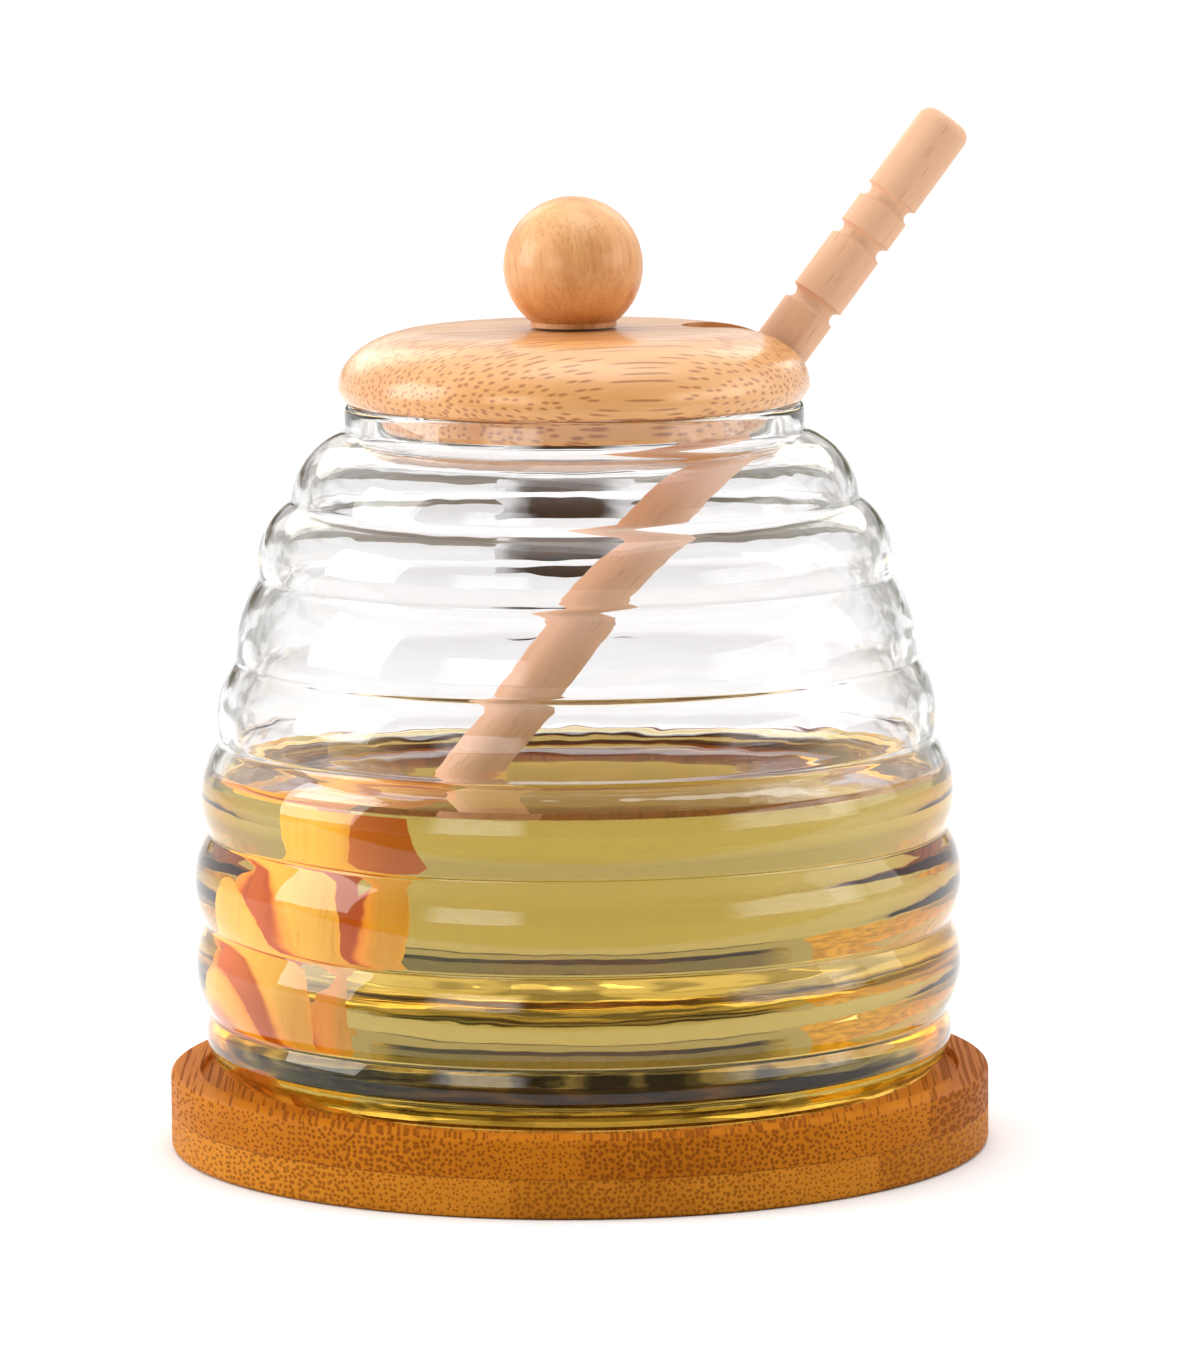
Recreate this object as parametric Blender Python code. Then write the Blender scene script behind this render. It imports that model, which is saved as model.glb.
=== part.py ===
"""Honey jar: a ribbed beehive glass on a bamboo coaster, with honey, a turned dipper and a knobbed bamboo lid.

Metres, +Z up. The origin is the middle of the coaster's underside, and +X points right as the jar is seen.
"""

import math

import bmesh
import bpy
from mathutils import Matrix, Vector

for old in list(bpy.data.objects):
    bpy.data.objects.remove(old, do_unlink=True)

# Gap that two touching pieces keep
GAP = 0.0003

# Coaster: a bamboo disc with a shallow recess that the jar stands in
COASTER_RADIUS = 0.0578
COASTER_THICKNESS = 0.011
COASTER_EDGE = 0.0008
RECESS_RADIUS = 0.0535
RECESS_DEPTH = 0.0015

# Glass: the grooves between the ribs lie on an ellipse, and each rib swells out between two grooves
WALL = 0.0022
HIVE_RADIUS = 0.0525
HIVE_HALF_HEIGHT = 0.0915
HIVE_WAIST_Z = 0.0318
LOWEST_GROOVE_Z = 0.0192
RIB_HEIGHTS = (0.0128, 0.0129, 0.0128, 0.0113, 0.0114, 0.0109)
RIB_SWELLS = (0.0017, 0.0018, 0.00175, 0.0012, 0.0009, 0.0018)
SHOULDER_SWELL = 0.0018
GROOVE_FILLET = 0.0010
FOOT_RADIUS = 0.0526
PUNT_RADIUS = 0.036
PUNT_SLOPE = 0.004
PUNT_RISE = 0.0008
NECK_RADIUS = 0.0322
NECK_Z = 0.1014
RIM_Z = 0.1048

# Lid: a rounded bamboo cap with a plug that drops into the neck and a notch for the dipper
LID_RADIUS = 0.0330
LID_THICKNESS = 0.0099
LID_CHAMFER_WIDTH = 0.0010
LID_CHAMFER_HEIGHT = 0.0016
LID_FLAT_RADIUS = 0.0205
LID_SHOULDER = 0.0078
PLUG_RADIUS = 0.0276
PLUG_DEPTH = 0.0040
PLUG_CHAMFER = 0.0006
NOTCH_WIDTH = 0.0100
NOTCH_INNER_END = 0.0155

# Knob: a wooden ball on a short foot
KNOB_RADIUS = 0.00975
KNOB_CENTRE_HEIGHT = 0.0084
KNOB_FOOT_RADIUS = 0.0060

# Dipper: leans in the upright plane at DIPPER_AZIMUTH, its handle against the inside of the rim
DIPPER_AZIMUTH = math.radians(12.0)
DIPPER_TILT = math.radians(37.6)
DIPPER_LENGTH = 0.1575
HANDLE_RADIUS = 0.00395
HANDLE_END_ROUND = 0.0018
HANDLE_GROOVES = (0.0147, 0.0213, 0.0325)
HANDLE_GROOVE_WIDTH = 0.0022
HANDLE_GROOVE_DEPTH = 0.0009
NECKING_RADIUS = 0.0032
NECKING_LENGTH = 0.008
RING_RADII = (0.0082, 0.0104, 0.0114, 0.0115, 0.0106, 0.0088)
RING_THICKNESS = 0.0036
RING_GAP = 0.0021
RING_EDGE = 0.0009
RING_CORE_RADIUS = 0.0058

# Honey: level above the coaster's underside
HONEY_LEVEL_Z = 0.0526

# Facets round each turned piece
GLASS_SIDES = 36
LID_SIDES = 48
KNOB_SIDES = 28
DIPPER_SIDES = 18
COASTER_SIDES = 60

RECESS_Z = COASTER_THICKNESS - RECESS_DEPTH
GLASS_Z = RECESS_Z + GAP
LID_Z = RIM_Z + GAP
LID_TOP_Z = LID_Z + LID_THICKNESS
KNOB_Z = LID_TOP_Z + GAP


def material(name, colour, roughness, transmission=0.0, ior=1.5):
    """A Principled material in one colour."""
    made = bpy.data.materials.new(name)
    made.use_nodes = True
    made.diffuse_color = (*colour, 1.0)
    shader = made.node_tree.nodes["Principled BSDF"]
    shader.inputs["Base Color"].default_value = (*colour, 1.0)
    shader.inputs["Roughness"].default_value = roughness
    shader.inputs["Metallic"].default_value = 0.0
    shader.inputs["Transmission Weight"].default_value = transmission
    shader.inputs["IOR"].default_value = ior
    return made


def arc(centre, radius, start, end, steps):
    """Points (r, z) along an arc from angle start to angle end, both ends included."""
    points = []
    for step in range(steps + 1):
        angle = start + (end - start) * step / steps
        points.append((centre[0] + radius * math.cos(angle), centre[1] + radius * math.sin(angle)))
    return points


def angle_to(centre, target):
    """Direction from centre to target in the (r, z) plane."""
    return math.atan2(target[1] - centre[1], target[0] - centre[0])


def turned(name, profile, sides, finish):
    """A solid turned about Z from a profile of (r, z) points, lowest first and up the outer side."""
    mesh = bmesh.new()
    ring = [mesh.verts.new((r, 0.0, z)) for r, z in profile]
    edges = [mesh.edges.new(pair) for pair in zip(ring, ring[1:])]
    bmesh.ops.spin(
        mesh,
        geom=ring + edges,
        cent=(0.0, 0.0, 0.0),
        axis=(0.0, 0.0, 1.0),
        angle=math.tau,
        steps=sides,
        use_merge=True,
    )
    bmesh.ops.remove_doubles(mesh, verts=mesh.verts, dist=1e-6)
    bmesh.ops.recalc_face_normals(mesh, faces=mesh.faces)
    data = bpy.data.meshes.new(name)
    mesh.to_mesh(data)
    mesh.free()
    data.shade_smooth()
    data.set_sharp_from_angle(angle=math.radians(35))
    data.materials.append(finish)
    made = bpy.data.objects.new(name, data)
    bpy.context.scene.collection.objects.link(made)
    return made


def as_cutter(obj):
    """Marks a helper that only cuts other pieces."""
    obj.hide_render = True
    obj.display_type = "WIRE"
    return obj


def cut(target, cutter):
    """Takes cutter out of target, as a live modifier."""
    boolean = target.modifiers.new("Cut", "BOOLEAN")
    boolean.operation = "DIFFERENCE"
    boolean.solver = "EXACT"
    boolean.object = cutter


def hive_radius(z):
    """Radius of the ellipse that the groove bottoms lie on, at height z."""
    share = (z - HIVE_WAIST_Z) / HIVE_HALF_HEIGHT
    return HIVE_RADIUS * math.sqrt(1.0 - share * share)


def groove_centres():
    """Centre (r, z) of the fillet in each groove, lowest first. The last is the fillet under the neck."""
    centres = []
    z = LOWEST_GROOVE_Z
    for height in (*RIB_HEIGHTS, None):
        r = hive_radius(z)
        slope = Vector((r / HIVE_RADIUS**2, (z - HIVE_WAIST_Z) / HIVE_HALF_HEIGHT**2)).normalized()
        centres.append((r + GROOVE_FILLET * slope.x, z + GROOVE_FILLET * slope.y))
        z += height or 0.0
    centres.append((NECK_RADIUS + GROOVE_FILLET, NECK_Z))
    return centres


def rib_circle(low, high, swell):
    """Centre and radius of the rib that touches the fillets at low and high and stands out by swell."""
    chord = Vector(high) - Vector(low)
    outward = Vector((chord.y, -chord.x)).normalized()
    reach = (chord.length_squared / 4 + swell * swell) / (2 * swell)
    centre = (Vector(low) + Vector(high)) / 2 - outward * (reach - swell)
    return tuple(centre), reach - GROOVE_FILLET


def foot_circle(groove):
    """Centre and radius of the rolled foot, which touches the lowest fillet, the foot radius and the base."""
    across = groove[0] - FOOT_RADIUS
    up = groove[1] - GLASS_Z
    half = up + GROOVE_FILLET - across
    radius = half - math.sqrt(half * half - (across * across + up * up - GROOVE_FILLET**2))
    return (FOOT_RADIUS - radius, GLASS_Z + radius), radius


def hive_wall(inset, rib_steps, groove_steps):
    """Profile of the ribbed wall from the base up to the neck, moved inwards by inset."""
    grooves = groove_centres()
    foot, foot_radius = foot_circle(grooves[0])
    swells = (*RIB_SWELLS, SHOULDER_SWELL)
    ribs = [rib_circle(low, high, swell) for low, high, swell in zip(grooves, grooves[1:], swells)]
    points = arc(foot, foot_radius - inset, -math.pi / 2, angle_to(foot, grooves[0]), rib_steps)
    below = foot
    for index, groove in enumerate(grooves):
        start = angle_to(groove, below) % math.tau
        last = index == len(ribs)
        end = math.pi if last else angle_to(groove, ribs[index][0]) % math.tau
        points += arc(groove, GROOVE_FILLET + inset, start, end, groove_steps)[1:]
        if last:
            break
        centre, radius = ribs[index]
        above = angle_to(centre, grooves[index + 1])
        points += arc(centre, radius - inset, angle_to(centre, groove), above, rib_steps)[1:]
        below = centre
    return points


def cut_off(points, level):
    """The stretch of a rising profile that lies below a level, ending on it."""
    kept = []
    for point, after in zip(points, points[1:]):
        kept.append(point)
        if after[1] >= level:
            share = (level - point[1]) / (after[1] - point[1])
            kept.append((point[0] + share * (after[0] - point[0]), level))
            break
    return kept


def make_coaster(bamboo):
    edge = COASTER_EDGE
    profile = [(0.0, 0.0)]
    profile += arc((COASTER_RADIUS - edge, edge), edge, -math.pi / 2, 0.0, 2)
    profile += arc((COASTER_RADIUS - edge, COASTER_THICKNESS - edge), edge, 0.0, math.pi / 2, 2)
    profile += [(RECESS_RADIUS + GAP, COASTER_THICKNESS), (RECESS_RADIUS, COASTER_THICKNESS - GAP)]
    profile += [(RECESS_RADIUS, RECESS_Z), (0.0, RECESS_Z)]
    return turned("coaster", profile, COASTER_SIDES, bamboo)


def make_glass(glass):
    outside = hive_wall(0.0, 4, 1)
    inside = hive_wall(WALL, 3, 1)
    rim = arc((NECK_RADIUS - WALL / 2, RIM_Z - WALL / 2), WALL / 2, 0.0, math.pi, 4)
    under = [(0.0, GLASS_Z + PUNT_RISE), (PUNT_RADIUS, GLASS_Z + PUNT_RISE)]
    under.append((PUNT_RADIUS + PUNT_SLOPE, GLASS_Z))
    floor = [(r, z + WALL) for r, z in reversed(under[:2])]
    return turned("glass_jar", under + outside + rim + inside[::-1] + floor, GLASS_SIDES, glass)


def make_lid(bamboo):
    bottom = LID_Z - PLUG_DEPTH
    side = LID_TOP_Z - LID_SHOULDER
    profile = [(0.0, bottom), (PLUG_RADIUS - PLUG_CHAMFER, bottom), (PLUG_RADIUS, bottom + PLUG_CHAMFER)]
    profile += [(PLUG_RADIUS, LID_Z), (LID_RADIUS - LID_CHAMFER_WIDTH, LID_Z)]
    profile.append((LID_RADIUS, LID_Z + LID_CHAMFER_HEIGHT))
    for r, z in arc((0.0, 0.0), 1.0, 0.0, math.pi / 2, 7):
        profile.append((LID_FLAT_RADIUS + (LID_RADIUS - LID_FLAT_RADIUS) * r, side + LID_SHOULDER * z))
    profile.append((0.0, LID_TOP_Z))
    lid = turned("lid", profile, LID_SIDES, bamboo)
    cut(lid, make_notch_cutter())
    return lid


def make_notch_cutter():
    """A U-shaped bar along the dipper's plane, round at its inner end, taller than the lid."""
    half = NOTCH_WIDTH / 2
    outline = arc((NOTCH_INNER_END + half, 0.0), half, math.pi / 2, 1.5 * math.pi, 8)
    outline += [(LID_RADIUS + half, -half), (LID_RADIUS + half, half)]
    mesh = bmesh.new()
    face = mesh.faces.new([mesh.verts.new((x, y, LID_Z - 2 * PLUG_DEPTH)) for x, y in outline])
    grown = bmesh.ops.extrude_face_region(mesh, geom=[face])
    raised = [item for item in grown["geom"] if isinstance(item, bmesh.types.BMVert)]
    bmesh.ops.translate(mesh, verts=raised, vec=(0.0, 0.0, LID_THICKNESS + 4 * PLUG_DEPTH))
    bmesh.ops.recalc_face_normals(mesh, faces=mesh.faces)
    data = bpy.data.meshes.new("notch_cutter")
    mesh.to_mesh(data)
    mesh.free()
    cutter = bpy.data.objects.new("notch_cutter", data)
    bpy.context.scene.collection.objects.link(cutter)
    cutter.rotation_euler.z = DIPPER_AZIMUTH
    return as_cutter(cutter)


def make_knob(wood):
    centre = (0.0, KNOB_Z + KNOB_CENTRE_HEIGHT)
    foot_angle = -math.acos(KNOB_FOOT_RADIUS / KNOB_RADIUS)
    profile = [(0.0, KNOB_Z), (KNOB_FOOT_RADIUS, KNOB_Z)]
    profile += arc(centre, KNOB_RADIUS, foot_angle, math.pi / 2, 12)
    profile[-1] = (0.0, centre[1] + KNOB_RADIUS)
    return turned("knob", profile, KNOB_SIDES, wood)


def dipper_place():
    """Matrix that stands the dipper, turned along Z from its tip, in the jar."""
    lean = math.tan(DIPPER_TILT)
    rim_inside = NECK_RADIUS - WALL
    at_rim = rim_inside - HANDLE_RADIUS / math.cos(DIPPER_TILT) - GAP
    floor_z = GLASS_Z + PUNT_RISE + WALL
    tip_z = floor_z + 2 * GAP + RING_RADII[0] * math.sin(DIPPER_TILT)
    tip = at_rim - lean * (RIM_Z - tip_z)
    return (
        Matrix.Rotation(DIPPER_AZIMUTH, 4, "Z")
        @ Matrix.Translation((tip, 0.0, tip_z))
        @ Matrix.Rotation(DIPPER_TILT, 4, "Y")
    )


def head_length():
    return len(RING_RADII) * RING_THICKNESS + (len(RING_RADII) - 1) * RING_GAP


def dipper_profile():
    """Profile of the dipper from its tip up to the end of its handle."""
    profile = [(0.0, 0.0)]
    for index, radius in enumerate(RING_RADII):
        low = index * (RING_THICKNESS + RING_GAP)
        high = low + RING_THICKNESS
        if index:
            profile.append((RING_CORE_RADIUS, low))
        profile += [(radius - RING_EDGE, low), (radius, low + RING_EDGE)]
        profile += [(radius, high - RING_EDGE), (radius - RING_EDGE, high)]
        if index < len(RING_RADII) - 1:
            profile.append((RING_CORE_RADIUS, high))
    head = head_length()
    profile += [(NECKING_RADIUS, head), (NECKING_RADIUS, head + NECKING_LENGTH / 2)]
    profile.append((HANDLE_RADIUS, head + NECKING_LENGTH))
    for from_end in reversed(HANDLE_GROOVES):
        middle = DIPPER_LENGTH - from_end
        half = HANDLE_GROOVE_WIDTH / 2
        bottom = HANDLE_RADIUS - HANDLE_GROOVE_DEPTH
        profile += [(HANDLE_RADIUS, middle - half), (bottom, middle)]
        profile += [(bottom, middle + half), (HANDLE_RADIUS, middle + half)]
    round_centre = (HANDLE_RADIUS - HANDLE_END_ROUND, DIPPER_LENGTH - HANDLE_END_ROUND)
    profile += arc(round_centre, HANDLE_END_ROUND, 0.0, math.pi / 2, 3)
    profile.append((0.0, DIPPER_LENGTH))
    return profile


def make_dipper(wood):
    dipper = turned("dipper", dipper_profile(), DIPPER_SIDES, wood)
    dipper.matrix_world = dipper_place()
    return dipper


def make_honey(honey):
    """Honey up to its level, with a hole round the dipper that keeps the gap."""
    inset = WALL + GAP
    floor = GLASS_Z + inset
    side = cut_off(hive_wall(inset, 3, 1), HONEY_LEVEL_Z)
    profile = [(0.0, floor + PUNT_RISE), (PUNT_RADIUS, floor + PUNT_RISE), *side, (0.0, HONEY_LEVEL_Z)]
    body = turned("honey", profile, GLASS_SIDES, honey)
    cut(body, make_dipper_cutter(honey))
    return body


def make_dipper_cutter(finish):
    """The barrel round the dipper's head and the tube round its handle, grown by the gap."""
    head = head_length()
    profile = [(0.0, -GAP), (RING_RADII[0] + GAP, -GAP)]
    for index, radius in enumerate(RING_RADII):
        middle = index * (RING_THICKNESS + RING_GAP) + RING_THICKNESS / 2
        profile.append((radius + 2 * GAP, middle))
    profile += [(RING_RADII[-1] + 2 * GAP, head + GAP), (HANDLE_RADIUS + GAP, head + GAP)]
    profile += [(HANDLE_RADIUS + GAP, DIPPER_LENGTH), (0.0, DIPPER_LENGTH)]
    cutter = turned("dipper_cutter", profile, DIPPER_SIDES, finish)
    cutter.matrix_world = dipper_place()
    return as_cutter(cutter)


def build():
    coaster_bamboo = material("coaster_bamboo", (0.52, 0.20, 0.058), 0.55)
    lid_bamboo = material("lid_bamboo", (0.80, 0.42, 0.155), 0.5)
    knob_wood = material("knob_wood", (0.76, 0.33, 0.12), 0.45)
    dipper_wood = material("dipper_wood", (0.77, 0.42, 0.25), 0.6)
    clear_glass = material("clear_glass", (1.0, 1.0, 1.0), 0.02, transmission=1.0, ior=1.47)
    clear_honey = material("clear_honey", (0.82, 0.60, 0.10), 0.02, transmission=1.0, ior=1.49)
    make_coaster(coaster_bamboo)
    make_glass(clear_glass)
    make_honey(clear_honey)
    make_dipper(dipper_wood)
    make_lid(lid_bamboo)
    make_knob(knob_wood)


build()
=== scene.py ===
import math

import bmesh
import bpy
from mathutils import Matrix, Vector


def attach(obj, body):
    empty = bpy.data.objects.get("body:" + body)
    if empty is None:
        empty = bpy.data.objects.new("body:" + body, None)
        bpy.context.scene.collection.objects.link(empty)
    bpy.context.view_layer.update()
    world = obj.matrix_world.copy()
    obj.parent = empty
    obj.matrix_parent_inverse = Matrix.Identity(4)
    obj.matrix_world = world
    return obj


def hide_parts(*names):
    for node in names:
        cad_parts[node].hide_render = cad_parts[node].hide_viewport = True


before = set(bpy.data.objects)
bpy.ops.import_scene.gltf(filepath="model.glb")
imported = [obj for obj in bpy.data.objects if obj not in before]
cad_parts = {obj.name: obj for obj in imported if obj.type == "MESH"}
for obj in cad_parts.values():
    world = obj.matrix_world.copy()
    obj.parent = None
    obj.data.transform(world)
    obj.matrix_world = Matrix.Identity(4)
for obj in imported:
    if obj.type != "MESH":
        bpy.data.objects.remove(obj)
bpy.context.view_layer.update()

# Coaster. A disc of bamboo, two glued layers thick, with a shallow recess turned into its top for the jar.
# Its fibres run from front to back, so its rim is all cut fibre ends. It is sanded and oiled.
MM = 0.001
COASTER_RADIUS = 57.8 * MM
COASTER_THICKNESS = 11.0 * MM
COASTER_EDGE = 0.9 * MM
COASTER_SEAM = 0.12 * MM
RECESS_RADIUS = 53.5 * MM
RECESS_DEPTH = 1.5 * MM
RECESS_LIP = 0.3 * MM
RECESS_FILLET = 0.5 * MM
RECESS_Z = COASTER_THICKNESS - RECESS_DEPTH
ROUND_SIDES = 192
SHARP_ANGLE = math.radians(38)
MERGE_DISTANCE = 1e-7
UPPER_LAYER = {
    "Spacing": 0.72 * MM,
    "Bundle Size": 0.40,
    "Strip Width": 24 * MM,
    "Pale": (0.52, 0.165, 0.008, 1.0),
    "Deep": (0.39, 0.108, 0.005, 1.0),
    "Bundle": (0.21, 0.052, 0.003, 1.0),
}
LOWER_LAYER = {
    "Spacing": 0.70 * MM,
    "Bundle Size": 0.38,
    "Strip Width": 25 * MM,
    "Pale": (0.62, 0.225, 0.018, 1.0),
    "Deep": (0.47, 0.150, 0.009, 1.0),
    "Bundle": (0.26, 0.072, 0.004, 1.0),
}
LOWER_LAYER_SHIFT = (0.0095, 0.02, 0.3)
GLUE = (0.12, 0.035, 0.008, 1.0)


def arc(centre, radius, start, end, steps):
    """Points (r, z) along an arc from angle start to angle end, both ends included."""
    points = []
    for step in range(steps + 1):
        angle = start + (end - start) * step / steps
        points.append((centre[0] + radius * math.cos(angle), centre[1] + radius * math.sin(angle)))
    return points


def made_of(mesh, name):
    """The bmesh as a new object in the scene."""
    data = bpy.data.meshes.new(name)
    mesh.to_mesh(data)
    mesh.free()
    made = bpy.data.objects.new(name, data)
    bpy.context.scene.collection.objects.link(made)
    return made


def turned(name, profile, sides, material, place=None):
    """A piece turned about Z from a profile of (r, z) points, then moved to its place."""
    mesh = bmesh.new()
    ring = [mesh.verts.new((r, 0.0, z)) for r, z in profile]
    edges = [mesh.edges.new(pair) for pair in zip(ring, ring[1:])]
    bmesh.ops.spin(
        mesh,
        geom=ring + edges,
        cent=(0.0, 0.0, 0.0),
        axis=(0.0, 0.0, 1.0),
        angle=math.tau,
        steps=sides,
        use_merge=True,
    )
    bmesh.ops.remove_doubles(mesh, verts=mesh.verts, dist=MERGE_DISTANCE)
    bmesh.ops.recalc_face_normals(mesh, faces=mesh.faces)
    if place:
        mesh.transform(place)
    piece = made_of(mesh, name)
    piece.data.shade_smooth()
    piece.data.set_sharp_from_angle(angle=SHARP_ANGLE)
    piece.data.materials.append(material)
    return piece


def feed(tree, socket, value):
    """Links the socket to another one, or sets it to a plain value."""
    if isinstance(value, bpy.types.NodeSocket):
        tree.links.new(value, socket)
    else:
        socket.default_value = value


def node(tree, kind, inputs=None, **settings):
    """A node of that kind with its settings, and each named input fed."""
    made = tree.nodes.new(kind)
    for key, value in settings.items():
        setattr(made, key, value)
    for key, value in (inputs or {}).items():
        feed(tree, made.inputs[key], value)
    return made


def maths(tree, operation, *values):
    """The result of one Math node."""
    made = node(tree, "ShaderNodeMath", operation=operation)
    for socket, value in zip(made.inputs, values):
        feed(tree, socket, value)
    return made.outputs[0]


def ramp(tree, factor, low, high, start=0.0, end=1.0):
    """Maps factor from low..high to start..end, smoothly and held at both ends."""
    made = node(
        tree,
        "ShaderNodeMapRange",
        {"Value": factor, "From Min": low, "From Max": high, "To Min": start, "To Max": end},
        interpolation_type="SMOOTHSTEP",
    )
    return made.outputs[0]


def blended(tree, factor, first, second, blend="MIX"):
    """The colour between first and second at factor. The node's colour sockets are its inputs 6 and 7."""
    made = node(tree, "ShaderNodeMix", data_type="RGBA", blend_type=blend)
    for index, value in ((0, factor), (6, first), (7, second)):
        feed(tree, made.inputs[index], value)
    return made.outputs[2]


def own_place(tree):
    """The place on the piece, in its own coordinates."""
    return node(tree, "ShaderNodeTexCoord").outputs["Object"]


def coordinate(tree, vector, axis):
    """One coordinate of a vector."""
    return node(tree, "ShaderNodeSeparateXYZ", {0: vector}).outputs[axis]


def stretched(tree, vector, scale):
    """vector times a scale along each axis."""
    return node(tree, "ShaderNodeVectorMath", {0: vector, 1: scale}, operation="MULTIPLY").outputs[0]


def noise(tree, vector, scale, detail=2.0):
    """The outputs of soft noise, stretched by a scale along each axis."""
    place = stretched(tree, vector, scale)
    return node(tree, "ShaderNodeTexNoise", {"Vector": place, "Scale": 1.0, "Detail": detail}).outputs


def relief(tree, shader, height, strength, distance):
    """Turns the shader's normal by a height, as fine relief on the surface."""
    bump = node(tree, "ShaderNodeBump", {"Height": height, "Strength": strength, "Distance": distance})
    tree.links.new(bump.outputs[0], shader.inputs["Normal"])


def finish(name, values=None):
    """A material, its tree and its shader, with plain values on the shader's own sockets."""
    made = bpy.data.materials.new(name)
    made.use_nodes = True
    shader = made.node_tree.nodes["Principled BSDF"]
    for key, value in (values or {}).items():
        shader.inputs[key].default_value = value
    return made, made.node_tree, shader


def new_group(name, inputs, outputs):
    """An empty shader node group with its sockets, and the nodes at its two ends."""
    group = bpy.data.node_groups.new(name, "ShaderNodeTree")
    for label, kind in inputs:
        group.interface.new_socket(label, in_out="INPUT", socket_type="NodeSocket" + kind)
    for label, kind in outputs:
        group.interface.new_socket(label, in_out="OUTPUT", socket_type="NodeSocket" + kind)
    return group, group.nodes.new("NodeGroupInput"), group.nodes.new("NodeGroupOutput")


def bamboo_group():
    """Bamboo with its fibres along Y: dark bundles that show as dots, dashes or streaks, as they are cut."""
    group, start, end = new_group(
        "bamboo",
        (("Place", "Vector"), ("Spacing", "Float"), ("Bundle Size", "Float"), ("Strip Width", "Float"),
         ("Pale", "Color"), ("Deep", "Color"), ("Bundle", "Color")),
        (("Color", "Color"), ("Height", "Float"), ("Roughness", "Float")),
    )
    place = start.outputs["Place"]
    per_metre = maths(group, "DIVIDE", 1.0, start.outputs["Spacing"])
    cells = node(group, "ShaderNodeVectorMath", {0: place, "Scale": per_metre}, operation="SCALE").outputs[0]
    wander = noise(group, place, (260, 45, 260))["Color"]
    moved = node(group, "ShaderNodeVectorMath", {0: cells, 1: wander}, operation="ADD").outputs[0]
    apart = node(group, "ShaderNodeSeparateXYZ", {0: moved}).outputs
    section = node(group, "ShaderNodeCombineXYZ", {"X": apart["X"], "Y": apart["Z"]}).outputs[0]
    bundles = node(
        group,
        "ShaderNodeTexVoronoi",
        {"Vector": section, "Scale": 1.0, "Randomness": 0.8},
        voronoi_dimensions="2D",
    )
    # Each strip keeps the stem's own change, from many fine bundles near the skin to a few large ones inside
    strip = maths(group, "DIVIDE", coordinate(group, place, "X"), start.outputs["Strip Width"])
    number = maths(group, "FLOOR", strip)
    draw = node(group, "ShaderNodeTexWhiteNoise", {"W": number}, noise_dimensions="1D").outputs["Value"]
    inside = maths(group, "PINGPONG", maths(group, "ADD", strip, draw), 1.0)
    size = maths(group, "MULTIPLY", start.outputs["Bundle Size"], ramp(group, inside, 0.0, 1.0, 0.72, 1.12))
    gone = maths(group, "SUBTRACT", bundles.outputs["Distance"], size)
    mask = ramp(group, gone, -0.14, 0.04, 1.0, 0.0)
    fibres = noise(group, place, (2600, 60, 2600), 3.0)["Fac"]
    clouds = noise(group, place, (150, 14, 150))["Fac"]
    tone = maths(group, "ADD", maths(group, "MULTIPLY", clouds, 0.9), maths(group, "MULTIPLY", draw, 0.45))
    tone = maths(group, "ADD", tone, maths(group, "MULTIPLY", fibres, 0.45))
    flesh = blended(group, ramp(group, tone, 0.5, 1.3), start.outputs["Pale"], start.outputs["Deep"])
    colour = blended(group, maths(group, "MULTIPLY", mask, 0.8), flesh, start.outputs["Bundle"])
    height = maths(group, "ADD", maths(group, "MULTIPLY", mask, -0.6), maths(group, "MULTIPLY", fibres, 0.4))
    group.links.new(colour, end.inputs["Color"])
    group.links.new(height, end.inputs["Height"])
    group.links.new(ramp(group, height, -0.6, 0.4, 0.62, 0.42), end.inputs["Roughness"])
    return group


BAMBOO = bamboo_group()


def coaster_bamboo():
    """Two layers of bamboo with a thin dark line of glue between them."""
    material, tree, shader = finish("coaster_bamboo", {"Specular IOR Level": 0.04})
    place = own_place(tree)
    upper = node(tree, "ShaderNodeGroup", {"Place": place, **UPPER_LAYER}, node_tree=BAMBOO)
    shifted = node(tree, "ShaderNodeMapping", {"Vector": place, "Location": LOWER_LAYER_SHIFT})
    lower = node(tree, "ShaderNodeGroup", {"Place": shifted.outputs[0], **LOWER_LAYER}, node_tree=BAMBOO)
    height = coordinate(tree, place, "Z")
    seam = COASTER_THICKNESS / 2
    is_upper = ramp(tree, height, seam - 0.05 * MM, seam + 0.05 * MM)
    colour = blended(tree, is_upper, lower.outputs["Color"], upper.outputs["Color"])
    off_seam = maths(tree, "ABSOLUTE", maths(tree, "SUBTRACT", height, seam))
    glue = ramp(tree, off_seam, 0.03 * MM, COASTER_SEAM, 0.45, 0.0)
    colour = blended(tree, glue, colour, GLUE)
    tree.links.new(colour, shader.inputs["Base Color"])
    tree.links.new(upper.outputs["Roughness"], shader.inputs["Roughness"])
    sunk = maths(tree, "ADD", upper.outputs["Height"], maths(tree, "MULTIPLY", glue, -2.0))
    relief(tree, shader, sunk, 0.5, 0.1 * MM)
    return material


foot_edge = (COASTER_RADIUS - COASTER_EDGE, COASTER_EDGE)
top_edge = (COASTER_RADIUS - COASTER_EDGE, COASTER_THICKNESS - COASTER_EDGE)
recess_lip = (RECESS_RADIUS + RECESS_LIP, COASTER_THICKNESS - RECESS_LIP)
recess_fillet = (RECESS_RADIUS - RECESS_FILLET, RECESS_Z + RECESS_FILLET)
coaster_profile = [(0.0, 0.0)]
coaster_profile += arc(foot_edge, COASTER_EDGE, -math.pi / 2, 0.0, 5)
coaster_profile += arc(top_edge, COASTER_EDGE, 0.0, math.pi / 2, 5)
coaster_profile += arc(recess_lip, RECESS_LIP, math.pi / 2, math.pi, 3)
coaster_profile += arc(recess_fillet, RECESS_FILLET, 0.0, -math.pi / 2, 4)
coaster_profile.append((0.0, RECESS_Z))
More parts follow.
